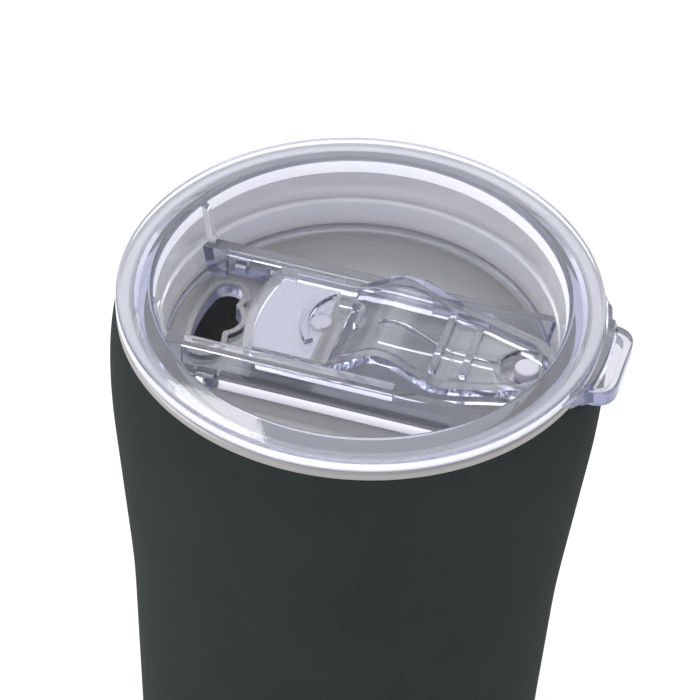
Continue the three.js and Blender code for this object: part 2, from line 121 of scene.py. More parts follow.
right = Vector((math.cos(VIEW_AZIMUTH), math.sin(VIEW_AZIMUTH), 0.0))
towards = Vector((
    math.sin(VIEW_AZIMUTH) * math.cos(VIEW_ELEVATION),
    -math.cos(VIEW_AZIMUTH) * math.cos(VIEW_ELEVATION),
    math.sin(VIEW_ELEVATION),
))
up = towards.cross(right)
target = Vector((0.0, 0.0, paint_top_z / 1000)) + right * VIEW_OFFSET[0] + up * VIEW_OFFSET[1]
camera_data = bpy.data.cameras.new("camera")
camera_data.sensor_width = SENSOR_WIDTH
camera_data.lens = LENS_LENGTH
camera_data.clip_start = 0.01
camera = bpy.data.objects.new("camera", camera_data)
camera_x = right * math.cos(VIEW_ROLL) + up * math.sin(VIEW_ROLL)
camera_y = up * math.cos(VIEW_ROLL) - right * math.sin(VIEW_ROLL)
turn = Matrix((camera_x, camera_y, towards)).transposed()
camera.matrix_world = Matrix.Translation(target + towards * VIEW_DISTANCE) @ turn.to_4x4()
scene.collection.objects.link(camera)
scene.camera = camera

soft_light("overhead", (0.0, 0.0, 1.3), (0.0, 0.0, 0.1), (1.2, 1.2), 4.5)
behind = -towards
soft_light("upper_back", (behind.x * 1.1, behind.y * 1.1, 1.15), (0.0, 0.0, 0.16), (1.3, 1.0), 4.6)
soft_light("left_side", (-right.x * 1.3 + 0.35, -right.y * 1.3, 0.35), (0.0, 0.0, 0.1), (0.9, 0.9), 4.0)
soft_light("small_window", (-0.713, -0.258, 0.935), (0.04, -0.013, 0.17), (0.05, 0.04), 0.045)

# ---------------------------------------------------------------- outer shell
# The outer wall of the vacuum body: stainless steel, drawn and tapered, with a matte powder coat
# in dark green grey. Its top edge stops just under the liner's rolled lip.


def bent(start, control, end, steps):
    """Points along a quadratic curve, without its start."""
    points = []
    for i in range(1, steps + 1):
        t = i / steps
        points.append(tuple(
            (1 - t) ** 2 * a + 2 * t * (1 - t) * b + t * t * c
            for a, b, c in zip(start, control, end)
        ))
    return points


def draw_wire(name, places, closed, rounds):
    """Draws a wire through places (metres), point by point, and rounds some of its corners.
    rounds lists (corner number, radius in millimetres, segments). The piece is left in edit mode."""
    bpy.ops.object.select_all(action="DESELECT")
    bpy.ops.mesh.primitive_plane_add(size=0.001)
    piece = bpy.context.object
    piece.name = piece.data.name = name
    bpy.ops.object.mode_set(mode="EDIT")
    bpy.ops.mesh.select_mode(type="VERT")
    bpy.ops.mesh.select_all(action="SELECT")
    bpy.ops.mesh.merge(type="CENTER")
    bpy.ops.transform.translate(value=places[0])
    here = Vector(places[0])
    for place in places[1:] + (places[:1] if closed else []):
        bpy.ops.mesh.extrude_region_move(TRANSFORM_OT_translate={"value": Vector(place) - here})
        here = Vector(place)
    bpy.ops.mesh.select_all(action="SELECT")
    bpy.ops.mesh.remove_doubles(threshold=1e-7)
    for corner, radius, segments in rounds:
        spot = Vector(places[corner])
        before = Vector(places[corner - 1]) - spot
        after = Vector(places[(corner + 1) % len(places)]) - spot
        bpy.ops.object.mode_set(mode="OBJECT")
        for edge in piece.data.edges:
            edge.select = False
        for vertex in piece.data.vertices:
            vertex.select = (vertex.co - spot).length < 2e-6
        bpy.ops.object.mode_set(mode="EDIT")
        reach = radius / 1000 / math.tan(before.angle(after) / 2)
        bpy.ops.mesh.bevel(offset=reach, segments=segments, affect="VERTICES")
    bpy.ops.mesh.select_all(action="SELECT")
    return piece


def turned(name, profile, steps=160, closed=False, rounds=(), y=0.0):
    """A turned piece from a profile of (radius, z), in millimetres, about an upright line at y."""
    places = [(radius / 1000, y / 1000, z / 1000) for radius, z in profile]
    piece = draw_wire(name, places, closed, rounds)
    bpy.ops.mesh.spin(steps=steps, angle=2 * math.pi, center=(0, y / 1000, 0), axis=(0, 0, 1))
    bpy.ops.mesh.select_all(action="SELECT")
    bpy.ops.mesh.remove_doubles(threshold=1e-7)
    bpy.ops.mesh.normals_make_consistent(inside=False)
    bpy.ops.object.mode_set(mode="OBJECT")
    bpy.ops.object.shade_smooth_by_angle(angle=math.radians(30))
    return piece


def new_node(tree, kind, **settings):
    """A node with some of its inputs set, where an underscore in a name stands for a space."""
    node = tree.nodes.new(kind)
    for socket, value in settings.items():
        node.inputs[socket.replace("_", " ")].default_value = value
    return node


def grain_group():
    """A fine surface grain: a height for bumps and a slow, cloudy mask for colour and gloss."""
    group = bpy.data.node_groups.new("moulded_grain", "ShaderNodeTree")
    group.interface.new_socket("Place", in_out="INPUT", socket_type="NodeSocketVector")
    for label, value in (("Grain Size", 2500.0), ("Cloud Size", 60.0)):
        socket = group.interface.new_socket(label, in_out="INPUT", socket_type="NodeSocketFloat")
        socket.default_value = value
    for label in ("Height", "Cloud"):
        group.interface.new_socket(label, in_out="OUTPUT", socket_type="NodeSocketFloat")
    enter = group.nodes.new("NodeGroupInput")
    leave = group.nodes.new("NodeGroupOutput")
    fine = new_node(group, "ShaderNodeTexNoise", Detail=3.0, Roughness=0.6)
    cloud = new_node(group, "ShaderNodeTexNoise", Detail=4.0, Roughness=0.55)
    for noise, size in ((fine, "Grain Size"), (cloud, "Cloud Size")):
        group.links.new(enter.outputs["Place"], noise.inputs["Vector"])
        group.links.new(enter.outputs[size], noise.inputs["Scale"])
    group.links.new(fine.outputs["Fac"], leave.inputs["Height"])
    group.links.new(cloud.outputs["Fac"], leave.inputs["Cloud"])
    return group


grain = grain_group()


def add_grain(tree, shader, colours, gloss, sizes, depth):
    """Puts the grain on a material: colours are the darkest and lightest tones of its cloudiness,
    gloss the lowest and highest roughness, sizes the two pattern scales, depth the bump in metres."""
    place = tree.nodes.new("ShaderNodeTexCoord")
    node = tree.nodes.new("ShaderNodeGroup")
    node.node_tree = grain
    node.inputs["Grain Size"].default_value, node.inputs["Cloud Size"].default_value = sizes
    tree.links.new(place.outputs["Object"], node.inputs["Place"])
    tone = tree.nodes.new("ShaderNodeValToRGB")
    tone.color_ramp.elements[0].position = 0.3
    tone.color_ramp.elements[0].color = (*colours[0], 1.0)
    tone.color_ramp.elements[1].position = 0.7
    tone.color_ramp.elements[1].color = (*colours[1], 1.0)
    tree.links.new(node.outputs["Cloud"], tone.inputs["Fac"])
    tree.links.new(tone.outputs["Color"], shader.inputs["Base Color"])
    sheen = tree.nodes.new("ShaderNodeMapRange")
    sheen.inputs["To Min"].default_value, sheen.inputs["To Max"].default_value = gloss
    tree.links.new(node.outputs["Cloud"], sheen.inputs["Value"])
    tree.links.new(sheen.outputs["Result"], shader.inputs["Roughness"])
    bump = tree.nodes.new("ShaderNodeBump")
    bump.inputs["Distance"].default_value = depth
    bump.inputs["Strength"].default_value = 1.0
    tree.links.new(node.outputs["Height"], bump.inputs["Height"])
    tree.links.new(bump.outputs["Normal"], shader.inputs["Normal"])
    return node, tone, bump


def settle(piece, material, body, node):
    """Gives a finished piece its material and the body it rides on, and hides the CAD part it stands for.
    """
    piece.data.materials.clear()
    piece.data.materials.append(material)
    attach(piece, body)
    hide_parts(node)


shell_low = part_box("outer_shell")[0].z * 1000
SHELL_STEEL = 0.7
WAIST_Z = 103.8
WAIST_REACH = 8.0
SWELL_Z = 139.5
shell_outside = [(33.6, shell_low), (35, shell_low)]
shell_outside += bent(shell_outside[-1], (37.1, shell_low), (37.2, 4), 8)
shell_outside += [(40.8, WAIST_Z - WAIST_REACH)]
shell_outside += bent(shell_outside[-1], (41.12, WAIST_Z), (41.9, WAIST_Z + WAIST_REACH), 8)
shell_outside += [(44.6, SWELL_Z)]
shell_outside += bent(shell_outside[-1], (46.39, 157.8), (44.4, paint_top_z - 0.05), 18)
shell_inside = [
    (radius - SHELL_STEEL, z + (SHELL_STEEL if z < 2 else 0.0)) for radius, z in shell_outside
]
outer_shell = turned("painted_shell", shell_outside + shell_inside[::-1], 160, closed=True)
paint, paint_shader, paint_tree = plain_material("powder_coat", (0.026, 0.033, 0.033), 0.9)
paint_shader.inputs["Specular IOR Level"].default_value = 0.08
add_grain(
    paint_tree, paint_shader,
    colours=((0.0235, 0.03, 0.03), (0.0285, 0.0355, 0.0355)),
    gloss=(0.84, 0.96), sizes=(3200.0, 45.0), depth=0.00002,
)
settle(outer_shell, paint, "mug", "outer_shell")

# ---------------------------------------------------------------- inner liner
# The drinking cup itself: one drawn stainless cup whose rolled lip turns out over the shell and is
# welded there. The inside stays bare and drawn, and the lip is polished.
LIP_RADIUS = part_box("inner_liner")[1].x * 1000
MOUTH_RADIUS = 41.5
LINER_STEEL = 0.7
LINER_FLOOR_Z = 9
cup_inside = [(0.0, LINER_FLOOR_Z), (28.2, LINER_FLOOR_Z)]
cup_inside += bent(cup_inside[-1], (34.2, LINER_FLOOR_Z), (34.5, LINER_FLOOR_Z + 6), 8)
cup_inside += [(37.1, WAIST_Z - WAIST_REACH)]
cup_inside += bent(cup_inside[-1], (37.5, WAIST_Z), (38.3, WAIST_Z + WAIST_REACH), 6)
cup_inside += [(40.6, SWELL_Z)]
cup_inside += bent(cup_inside[-1], (MOUTH_RADIUS, 146), (MOUTH_RADIUS, 152), 6)
cup_outside = [
    (radius + (LINER_STEEL if radius > 0 else 0.0), z - (LINER_STEEL if z < LINER_FLOOR_Z + 0.5 else 0.0))
    for radius, z in cup_inside
]
lip = [
    (MOUTH_RADIUS + LINER_STEEL, paint_top_z),
    (LIP_RADIUS, paint_top_z),
    (LIP_RADIUS, mouth_z),
    (MOUTH_RADIUS, mouth_z),
]
cup = cup_outside + lip + cup_inside[::-1]
first_lip = len(cup_outside)
inner_liner = turned("steel_liner", cup, 160, rounds=[(first_lip + 2, 0.7, 6), (first_lip + 3, 0.6, 5)])


def turned_steel(name, dark, light, gloss, lines):
    """Bare steel with fine lines that run round it, left by the polishing wheel."""
    material, shader, tree = plain_material(name, light, gloss[0])
    shader.inputs["Metallic"].default_value = 1.0
    node, tone, bump = add_grain(tree, shader, (dark, light), gloss, (900.0, 30.0), 0.000004)
    stretch = tree.nodes.new("ShaderNodeMapping")
    stretch.inputs["Scale"].default_value = (0.06, 0.06, lines)
    place = tree.nodes.new("ShaderNodeTexCoord")
    tree.links.new(place.outputs["Object"], stretch.inputs["Vector"])
    tree.links.new(stretch.outputs["Vector"], node.inputs["Place"])
    return material


inside_steel = turned_steel("drawn_steel", (0.6, 0.59, 0.58), (0.7, 0.69, 0.68), (0.36, 0.48), 6.0)
lip_steel = turned_steel("polished_steel", (0.35, 0.34, 0.345), (0.41, 0.4, 0.4), (0.3, 0.4), 6.0)
settle(inner_liner, inside_steel, "mug", "inner_liner")
inner_liner.data.materials.append(lip_steel)
for face in inner_liner.data.polygons:
    if face.center.z * 1000 > paint_top_z - 0.1 and face.center.xy.length * 1000 > MOUTH_RADIUS + 0.1:
        face.material_index = 1

# ---------------------------------------------------------------- lid body
# One clear plastic moulding: a flange that rests on the steel lip, a plug, a recessed bowl with the
# drink hole, two guide rails with ledges over the slider's tongues, and the pull tab.
# Its parts are modelled one by one and united into a single solid.


def select_only(piece):
    bpy.ops.object.select_all(action="DESELECT")
    bpy.context.view_layer.objects.active = piece
    piece.select_set(True)


def slab(name, outline, low, high, axis="Z", rounds=()):
    """An outline of (x, y) points raised from low to high, or of (y, z) points drawn out along X."""
    if axis == "Z":
        places = [(x / 1000, y / 1000, low / 1000) for x, y in outline]
        step = Vector((0, 0, (high - low) / 1000))
    else:
        places = [(low / 1000, y / 1000, z / 1000) for y, z in outline]
        step = Vector(((high - low) / 1000, 0, 0))
    piece = draw_wire(name, places, True, rounds)
    bpy.ops.mesh.edge_face_add()
    bpy.ops.mesh.extrude_region_move(TRANSFORM_OT_translate={"value": step})
    bpy.ops.mesh.select_all(action="SELECT")
    bpy.ops.mesh.normals_make_consistent(inside=False)
    bpy.ops.object.mode_set(mode="OBJECT")
    return piece


def block(name, low, high):
    """A plain cuboid between two corners, in millimetres."""
    outline = [(low[0], low[1]), (high[0], low[1]), (high[0], high[1]), (low[0], high[1])]
    return slab(name, outline, low[2], high[2])


def soften(piece, chosen, radius, segments=3):
    """Rounds the sharp edges whose two ends both pass chosen(x, y, z), in millimetres."""
    select_only(piece)
    bpy.ops.object.mode_set(mode="EDIT")
    bpy.ops.mesh.select_mode(type="EDGE")
    bpy.ops.mesh.select_all(action="DESELECT")
    bpy.ops.mesh.edges_select_sharp(sharpness=math.radians(40))
    bpy.ops.object.mode_set(mode="OBJECT")
    points = [chosen(*(vertex.co * 1000)) for vertex in piece.data.vertices]
    sharp = [e.index for e in piece.data.edges if e.select and all(points[v] for v in e.vertices)]
    for part in (piece.data.vertices, piece.data.edges, piece.data.polygons):
        part.foreach_set("select", [False] * len(part))
    for index in sharp:
        piece.data.edges[index].select = True
    bpy.ops.object.mode_set(mode="EDIT")
    bpy.ops.mesh.bevel(offset=radius / 1000, segments=segments, affect="EDGES", clamp_overlap=True)
    bpy.ops.object.mode_set(mode="OBJECT")


def combine(piece, others, how="UNION"):
    """Unites, cuts or intersects a solid with others, and clears the others away."""
    select_only(piece)
    for other in others:
        modifier = piece.modifiers.new("combine", "BOOLEAN")
        modifier.operation = how
        modifier.solver = "MANIFOLD"
        modifier.object = other
        bpy.ops.object.modifier_apply(modifier=modifier.name)
        bpy.data.objects.remove(other)


def mirrored(piece):
    """Adds the same shape on the other side of the mug's middle plane."""
    select_only(piece)
    mirror = piece.modifiers.new("other_side", "MIRROR")
    mirror.use_mirror_merge = False
    bpy.ops.object.modifier_apply(modifier=mirror.name)


def smooth(piece):
    """Smooth shading that keeps the broad flat faces flat and the rounded edges round."""
    select_only(piece)
    bpy.ops.object.mode_set(mode="EDIT")
    bpy.ops.mesh.select_all(action="SELECT")
    bpy.ops.mesh.remove_doubles(threshold=1e-6)
    bpy.ops.object.mode_set(mode="OBJECT")
    bpy.ops.object.shade_smooth_by_angle(angle=math.radians(35))
    modifier = piece.modifiers.new("flat_faces", "WEIGHTED_NORMAL")
    modifier.keep_sharp = True
    modifier.weight = 80
    bpy.ops.object.modifier_apply(modifier=modifier.name)


# The shapes that cut the lid and the slider reach from well below them to well above.
CUT_LOW_Z, CUT_HIGH_Z = 150, 175
FLANGE_RADIUS = 44.4
PLUG_RADIUS = 40.2
GROOVE_RADIUS = 39.2
GROOVE_LOW_Z, GROOVE_TOP_Z = 155.1, 159.5
FLOOR_THICKNESS = 2
flange_top_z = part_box("lid_body")[1].z * 1000
flange_low_z = mouth_z + 0.3
floor_top_z = 155.1
floor_low_z = floor_top_z - FLOOR_THICKNESS
bowl_profile = [
    (0, floor_low_z), (37.2, floor_low_z), (39.5, floor_low_z + 0.5), (PLUG_RADIUS, floor_low_z + 1.2),
    (PLUG_RADIUS, GROOVE_LOW_Z), (GROOVE_RADIUS, GROOVE_LOW_Z), (GROOVE_RADIUS, GROOVE_TOP_Z),
    (PLUG_RADIUS, GROOVE_TOP_Z), (PLUG_RADIUS, flange_low_z - 0.8), (41, flange_low_z),
    (FLANGE_RADIUS, flange_low_z), (FLANGE_RADIUS, flange_top_z), (37.75, flange_top_z),
    (35.3, floor_top_z), (0, floor_top_z),
]
lid = turned("clear_lid", bowl_profile, 160, rounds=[
    (10, 0.4, 4), (11, 0.85, 7), (12, 0.95, 7), (13, 1.6, 7),
])


def arc(centre, radius, start, end, steps):
    """Points on an arc, with its angles in degrees."""
    points = []
    for i in range(steps + 1):
        angle = math.radians(start + (end - start) * i / steps)
        points.append((centre[0] + radius * math.cos(angle), centre[1] + radius * math.sin(angle)))
    return points


HOLE_ARC_RADIUS = 28.05
HOLE_HALF_WIDTH = 2.85
HOLE_HALF_ANGLE = 13.6
NOTCH_RADIUS = 4.1
NOTCH_Y = -26.8


def drink_hole(name, margin, low, high):
    """The curved slot with a round straw notch in its inner side, grown by margin."""
    half = HOLE_HALF_WIDTH + margin
    inner = HOLE_ARC_RADIUS - half
    notch = NOTCH_RADIUS + margin
    cosine = (inner ** 2 + NOTCH_Y ** 2 - notch ** 2) / (2 * inner * abs(NOTCH_Y))
    meet = math.degrees(math.acos(cosine))
    meet_x = inner * math.sin(math.radians(meet))
    meet_y = -inner * math.cos(math.radians(meet))
    swing = math.degrees(math.atan2(meet_y - NOTCH_Y, meet_x))
    reach = math.radians(HOLE_HALF_ANGLE)
    cap_x, cap_y = HOLE_ARC_RADIUS * math.sin(reach), -HOLE_ARC_RADIUS * math.cos(reach)
    low_angle, high_angle = -90 - HOLE_HALF_ANGLE, -90 + HOLE_HALF_ANGLE
    outline = arc((0, 0), HOLE_ARC_RADIUS + half, low_angle, high_angle, 14)
    outline += arc((cap_x, cap_y), half, high_angle, high_angle + 180, 14)[1:]
    outline += arc((0, 0), inner, high_angle, -90 + meet, 4)[1:]
    first_corner = len(outline) - 1
    outline += arc((0, NOTCH_Y), notch, swing, 180 - swing, 14)[1:]
    second_corner = len(outline) - 1
    outline += arc((0, 0), inner, -90 - meet, low_angle, 4)[1:]
    outline += arc((-cap_x, cap_y), half, low_angle + 180, low_angle + 360, 14)[1:-1]
    return slab(name, outline, low, high, rounds=[(first_corner, 0.6, 4), (second_corner, 0.6, 4)])


VENT_Y = 18.15
HOLE_LIP_TOP_Z = 156.3
lip_low_z = floor_low_z - 0.05
vent = turned("vent", [(0, CUT_LOW_Z), (1.6, CUT_LOW_Z), (1.6, 158), (0, 158)], 32, y=VENT_Y)
combine(lid, [drink_hole("opening", 0.5, CUT_LOW_Z, 158), vent], "DIFFERENCE")
hole_lip = drink_hole("hole_lip", 1.1, lip_low_z, HOLE_LIP_TOP_Z)
combine(hole_lip, [drink_hole("opening", 0, CUT_LOW_Z, 158)], "DIFFERENCE")
soften(hole_lip, lambda x, y, z: abs(z - HOLE_LIP_TOP_Z) < 0.01, 0.25)
vent_lip = turned("vent_lip", [
    (1, lip_low_z), (2.2, lip_low_z), (2.2, HOLE_LIP_TOP_Z), (1, HOLE_LIP_TOP_Z),
], 48, closed=True, rounds=[(2, 0.25, 3), (3, 0.25, 3)], y=VENT_Y)

RAIL_OUTER_X = 15
RAIL_WALL = 1.6
LEDGE_THICKNESS = 1.3
rail_top_z = 161.6
rail_foot_z = floor_top_z - 0.4
wall_x = RAIL_OUTER_X - RAIL_WALL
rail = block("rail", (wall_x, -37, rail_foot_z), (RAIL_OUTER_X, 37, rail_top_z))
soften(rail, lambda x, y, z: z > 161, 0.25)
ledge = block("ledge", (12, -37, rail_top_z - LEDGE_THICKNESS), (wall_x + 0.6, 10.4, rail_top_z - 0.02))
soften(ledge, lambda x, y, z: x < 12.01 or y > 10, 0.25)
pillar = block("pillar", (12.04, -37, rail_foot_z), (wall_x + 0.6, -29.5, rail_top_z - 0.3))
soften(pillar, lambda x, y, z: x < 12.1 and y > -30, 0.3)
plinth = block("plinth", (RAIL_OUTER_X - 0.6, -21.5, rail_foot_z), (17.8, 21.5, 157.4))
soften(plinth, lambda x, y, z: x > 17 and abs(y) > 21, 2.0, 5)
soften(plinth, lambda x, y, z: x > 15 and z > 157.3, 0.25)
fin_side = [(-37.6, 160.9), (-31.9, 160.9), (-32.4, 161.6), (-33.7, 169.4), (-34.6, 170), (-37.6, 170)]
fin = slab("fin", fin_side, wall_x + 0.02, RAIL_OUTER_X - 0.02, "X")
soften(fin, lambda x, y, z: y > -35 and z > 161, 0.25)
foot_block = block("foot_block", (RAIL_OUTER_X - 0.6, -25.9, rail_foot_z), (17.7, -22.3, 157.3))
soften(foot_block, lambda x, y, z: x > 15 and z > 157.2, 0.3)
end_block = block("end_block", (RAIL_OUTER_X - 0.6, -28.5, rail_foot_z), (17.2, -26.4, 157.0))
soften(end_block, lambda x, y, z: x > 15 and z > 156.9, 0.3)
combine(rail, [ledge, pillar, plinth, foot_block, end_block, fin])
inside_bowl = turned("inside_bowl", [
    (0, rail_foot_z - 1), (36, rail_foot_z - 1), (36, 156.5), (38.4, 169.7), (38.4, 170.6), (0, 170.6),
], 96)
combine(rail, [inside_bowl], "INTERSECT")
mirrored(rail)

TAB_TOP_Z = 168


def tab_outline(inset):
    """The pull tab from above: a wide root in the flange and a rounded end."""
    root, tip, end = 10.2 - inset, 9.5 - inset, 49.4 - inset
    corner = 4.6 - inset * 0.6
    points = [(-root, 40), (root, 40), (root, 44), (tip, end - corner)]
    points += bent(points[-1], (tip, end), (tip - corner, end), 8)
    points += [(corner - tip, end)]
    points += bent(points[-1], (-tip, end), (-tip, end - corner), 8)
    return points + [(-root, 44)]


tab = slab("tab", tab_outline(0), 164.6, TAB_TOP_Z)
soften(tab, lambda x, y, z: z > 167.9 or z < 164.7, 0.5)
combine(tab, [slab("under_tab", tab_outline(1.6), 160, TAB_TOP_Z - 1.2)], "DIFFERENCE")
tab_root = slab("tab_root", tab_outline(0.5), TAB_TOP_Z - 1.1, flange_top_z - 1.2)
root_reach = turned("root_reach", [(0, 160), (46.6, 160), (46.6, 168), (44.9, 172), (0, 172)], 160)
combine(tab_root, [root_reach], "INTERSECT")
gusset = slab("gusset", [
    (-9, 41.5), (-15.8, 41.5), (-13.4, 42.9), (-11.4, 44.8), (-9.8, 47.4), (9.8, 47.4), (11.4, 44.8),
    (13.4, 42.9), (15.8, 41.5), (9, 41.5),
], TAB_TOP_Z - 1.15, TAB_TOP_Z + 1.4)
soften(gusset, lambda x, y, z: y > 42, 0.4)
gusset_reach = turned("gusset_reach", [(0, 160), (46.9, 160), (45.6, 169), (44.6, 172), (0, 172)], 160)
combine(gusset, [gusset_reach], "INTERSECT")
combine(tab, [tab_root, gusset])
clearance = turned("clearance", [(0, 160), (44.85, 160), (44.85, flange_low_z), (0, flange_low_z)], 160)
bowl_room = turned("bowl_room", [
    (0, CUT_LOW_Z), (41.5, CUT_LOW_Z), (41.5, CUT_HIGH_Z), (0, CUT_HIGH_Z),
], 160)
combine(tab, [clearance, bowl_room], "DIFFERENCE")
# The bowl's wall is cut into a lower and an upper band, so that each takes its own finish and its own
# painted light, an emission that is stronger on the upper band.
WALL_BAND_Z = 167.6
select_only(lid)
bpy.ops.object.mode_set(mode="EDIT")
bpy.ops.mesh.select_all(action="SELECT")
bpy.ops.mesh.bisect(plane_co=(0, 0, WALL_BAND_Z / 1000), plane_no=(0, 0, 1))
bpy.ops.object.mode_set(mode="OBJECT")
combine(lid, [hole_lip, vent_lip, rail, tab])
smooth(lid)


PLASTIC_IOR = 1.54
PLASTIC_TINT = (0.66, 0.7, 0.92)


def clear_plastic(name, clearness, tones, gloss, sizes, depth, tint_density=0.0, painted_glow=None):
    """A clear moulded plastic. tint_density deepens its faint lavender where light runs a long way
    inside it, and the last argument is the colour and strength of painted light: an emission that makes
    the face shine though no lamp lights it there."""
    material, shader, tree = plain_material(name, tones[1], gloss[1])
    shader.inputs["Transmission Weight"].default_value = clearness
    shader.inputs["IOR"].default_value = PLASTIC_IOR
    if painted_glow:
        shader.inputs["Emission Color"].default_value = (*painted_glow[0], 1.0)
        shader.inputs["Emission Strength"].default_value = painted_glow[1]
    if tint_density:
        tint = tree.nodes.new("ShaderNodeVolumeAbsorption")
        tint.inputs["Color"].default_value = (*PLASTIC_TINT, 1.0)
        tint.inputs["Density"].default_value = tint_density
        tree.links.new(tint.outputs["Volume"], tree.nodes["Material Output"].inputs["Volume"])
    add_grain(tree, shader, tones, gloss, sizes, depth)
    return material


polished = clear_plastic(
    "clear_plastic", 0.93, ((0.9, 0.915, 0.975), (0.93, 0.94, 0.985)), (0.0, 0.03), (700.0, 70.0),
    0.000003, tint_density=50.0,
)
settle(lid, polished, "lid", "lid_body")
for finish in (
    clear_plastic(
        "misty_plastic", 0.84, ((0.93, 0.93, 0.95), (0.98, 0.98, 1.0)), (0.1, 0.2), (1400.0, 50.0),
        0.000006, tint_density=50.0,
    ),
    # Frosted finish with painted light: an emission that brightens the bowl's upper band and the plinths'
    # outer faces.
    clear_plastic(
        "frosted_painted_glow_plastic", 0.35, ((0.86, 0.86, 0.93), (0.94, 0.94, 0.99)), (0.35, 0.5), (2400.0, 120.0),
        0.00001, painted_glow=((0.88, 0.88, 1.0), 0.4),
    ),
    # Satin finish with weaker painted light: an emission on the bowl's lower band.
    clear_plastic(
        "satin_painted_glow_plastic", 0.72, ((0.88, 0.89, 0.95), (0.94, 0.94, 0.99)), (0.06, 0.14), (1800.0, 60.0),
        0.000004, painted_glow=((0.95, 0.95, 1.0), 0.12),
    ),
    # The pull tab's top, painted darker than the rest of the clear lid: painted shade.
    clear_plastic(
        "tab_plate_painted_shade", 0.9, ((0.61, 0.61, 0.67), (0.65, 0.65, 0.71)), (0.02, 0.08), (1500.0, 90.0),
        0.000004,
    ),
    # The pull tab's side faces, painted darker and bluer than its top: painted shade.
    clear_plastic(
        "tab_edge_painted_shade", 0.72, ((0.36, 0.39, 0.59), (0.44, 0.47, 0.67)), (0.02, 0.08), (1500.0, 90.0),
        0.000004,
    ),
    # The flange's outer side, with painted light: an emission that makes a painted highlight band.
    clear_plastic(
        "rim_painted_glow_plastic", 0.8, ((0.9, 0.915, 0.975), (0.93, 0.94, 0.985)), (0.03, 0.09), (1500.0, 60.0),
        0.000004, painted_glow=((0.9, 0.9, 1.0), 0.3),
    ),
):
    lid.data.materials.append(finish)

MISTY, FROSTED_GLOW, SATIN_GLOW, TAB_PLATE_SHADE, TAB_EDGE_SHADE, RIM_GLOW = range(1, 7)
for face in lid.data.polygons:
    middle = face.center * 1000
    reach = middle.xy.length
    on_floor = middle.z < 156.6 and reach < 36.5 and abs(face.normal.z) > 0.25
    on_underside = middle.z < 154.6 and reach < PLUG_RADIUS + 0.1
    if on_floor or on_underside:
        face.material_index = MISTY
    # The flange's outer band takes the painted highlight.
    if reach > 44.1 and 168.7 < middle.z < 170.2 and middle.y < 42:
        face.material_index = RIM_GLOW
    # The tab's upward faces and its side faces take two tones of painted shade, darker on the sides.
    if middle.y > 41 and reach > 43.5 and middle.z < TAB_TOP_Z + 0.25:
        face.material_index = TAB_PLATE_SHADE if abs(face.normal.z) > 0.9 else TAB_EDGE_SHADE
    # The bowl's inner wall takes painted light from its finishes, stronger on the upper band than on the
    # lower one.
    faces_in = face.normal.xy.dot(middle.xy) < 0
    if faces_in and 35.3 < reach < 38.2 and 156.6 < middle.z < 169.5:
        face.material_index = FROSTED_GLOW if middle.z > WALL_BAND_Z else SATIN_GLOW
    outwards = face.normal.x * middle.x > 0 and abs(face.normal.x) > 0.6
    by_rail = RAIL_OUTER_X + 0.1 < abs(middle.x) < 18 and middle.z < 157.6
    on_plinth = -22 < middle.y < 22
    on_end_block = -29 < middle.y < -26
    # The outer faces of the plinths and end blocks take the frosted finish and its painted light.
    if outwards and by_rail and (on_plinth or on_end_block):
        face.material_index = FROSTED_GLOW

# ---------------------------------------------------------------- lid gasket
# A soft, milky silicone ring moulded in one piece and stretched into the plug's groove. Its three
# round lips press on the inside of the steel mouth and keep the lid tight.
gasket_low, gasket_top = 155.2, 159.4
gasket_back = GROOVE_RADIUS + 0.05
gasket_pitch = (gasket_top - gasket_low) / 3
gasket_side = [(gasket_back, gasket_low)]
gasket_rounds = []
for ring in range(3):
    gasket_side.append((40.4, gasket_low + ring * gasket_pitch))
    gasket_side.append((41.4, gasket_low + (ring + 0.5) * gasket_pitch))
    gasket_rounds.append((len(gasket_side) - 1, 0.3, 4))
gasket_side += [(40.4, gasket_top), (gasket_back, gasket_top)]
gasket = turned("lip_ring", gasket_side, 128, closed=True, rounds=gasket_rounds[::-1])
rubber, rubber_shader, rubber_tree = plain_material("clear_silicone", (0.92, 0.92, 0.96), 0.45)
rubber_shader.inputs["Transmission Weight"].default_value = 0.1
rubber_shader.inputs["IOR"].default_value = 1.41
add_grain(
    rubber_tree, rubber_shader, colours=((0.88, 0.88, 0.92), (0.94, 0.94, 0.98)),
    gloss=(0.35, 0.5), sizes=(1500.0, 40.0), depth=0.00001,
)
settle(gasket, rubber, "lid", "lid_gasket")

# ---------------------------------------------------------------- slider
# The clear sliding cover, moulded in one piece: a flat plate over the drink hole, a finger hump with a
# raised rim, grip bars and a low tail with a pocket for the plug. Tongues at its sides run under the
# rails' ledges.
SLIDER_HALF_WIDTH = 11.6
SLIDER_FRONT_Y = -20.5
SLIDER_TAIL_Y = 36.2
PLATE_TOP_Z = 161.3
HUMP_TOP_Z = 166.8
TAIL_TOP_Z = 162.3
HUMP_FRONT_Y, HUMP_PEAK_Y, HUMP_BACK_Y = -4.5, 6.5, 19
slider_low_z = 158.4


def ease(t):
    """A smooth step from 0 to 1."""
    t = min(max(t, 0.0), 1.0)
    return t * t * (3 - 2 * t)


def rim_height(y):
    """Height of the slider's rim along its length: flat plate, finger hump, low tail."""
    if y < HUMP_PEAK_Y:
        rise = ease((y - HUMP_FRONT_Y) / (HUMP_PEAK_Y - HUMP_FRONT_Y))
        return PLATE_TOP_Z + (HUMP_TOP_Z - PLATE_TOP_Z) * rise
    fall = ease((y - HUMP_PEAK_Y) / (HUMP_BACK_Y - HUMP_PEAK_Y))
    return HUMP_TOP_Z + (TAIL_TOP_Z - HUMP_TOP_Z) * fall


